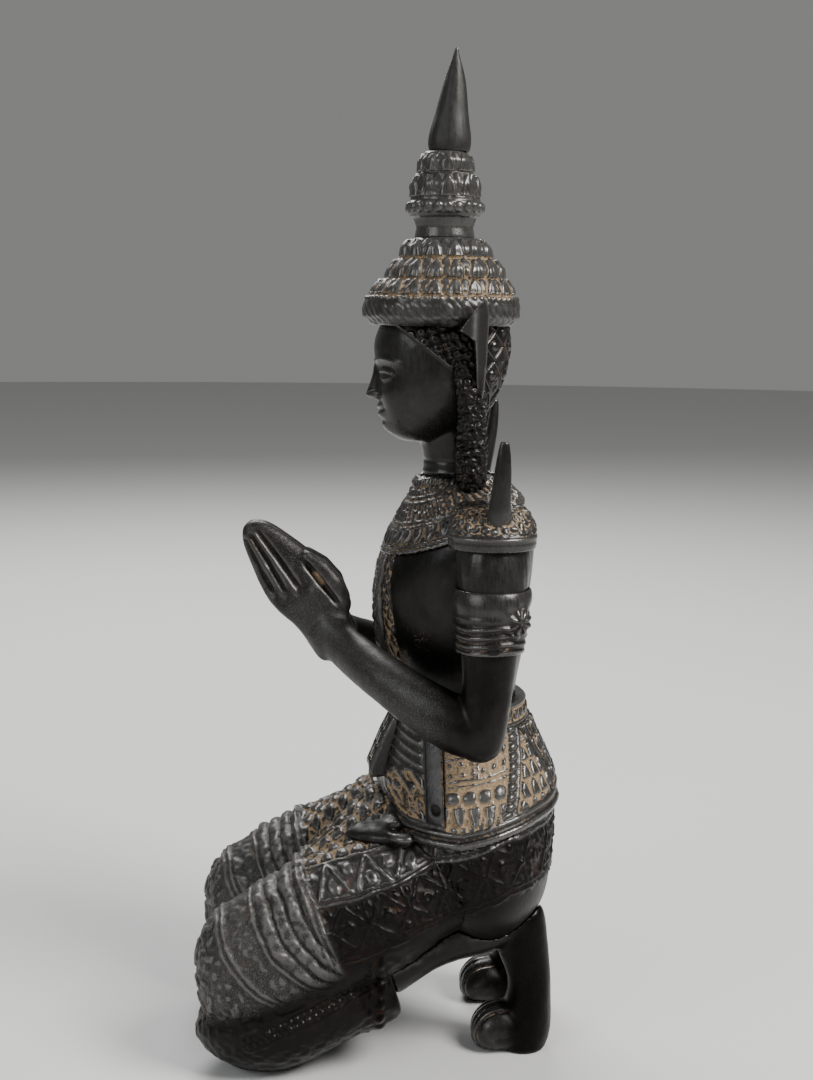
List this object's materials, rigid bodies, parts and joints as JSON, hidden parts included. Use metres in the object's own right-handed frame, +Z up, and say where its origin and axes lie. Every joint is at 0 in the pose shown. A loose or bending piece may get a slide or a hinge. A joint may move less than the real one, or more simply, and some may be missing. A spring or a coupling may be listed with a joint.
{
  "type": "kneeling worshipper statue",
  "caption": "Kneeling figure with palms pressed together, tiered spire crown and ornamented court dress, in dark patinated cast brass.",
  "frame": {"origin": "middle of the footprint at table level: the bottom centre of the bounding box", "axes": "+Z up, the figure faces -Y, its left side is +X"},
  "size_m": [0.0956, 0.1109, 0.3],
  "materials": {
    "patinated_brass": "cast, dark brown-black patina, satin on worn skin, tan residue in the ornament's recesses",
    "core_clay": "fired clay, matt"
  },
  "bodies": {
    "root": {"crown_spire": "patinated_brass", "crown_upper_tiers": "patinated_brass", "crown_cap": "patinated_brass", "head": "patinated_brass", "head_core": "core_clay", "collar": "patinated_brass", "chest_band": "patinated_brass", "torso": "patinated_brass", "torso_core": "core_clay", "belt": "patinated_brass", "hips": "patinated_brass", "hips_core": "core_clay", "skirt": "patinated_brass", "front_sash": "patinated_brass", "rear_sash": "patinated_brass", "left_ear_flame": "patinated_brass", "right_ear_flame": "patinated_brass", "left_ear_strand": "patinated_brass", "right_ear_strand": "patinated_brass", "left_epaulette": "patinated_brass", "right_epaulette": "patinated_brass", "left_arm": "patinated_brass", "right_arm": "patinated_brass", "left_armlet": "patinated_brass", "right_armlet": "patinated_brass", "left_side_sash": "patinated_brass", "right_side_sash": "patinated_brass", "left_leg": "patinated_brass", "right_leg": "patinated_brass", "left_leg_core": "core_clay", "right_leg_core": "core_clay", "left_foot": "patinated_brass", "right_foot": "patinated_brass", "core_pins": "patinated_brass"}
  },
  "joints": []
}
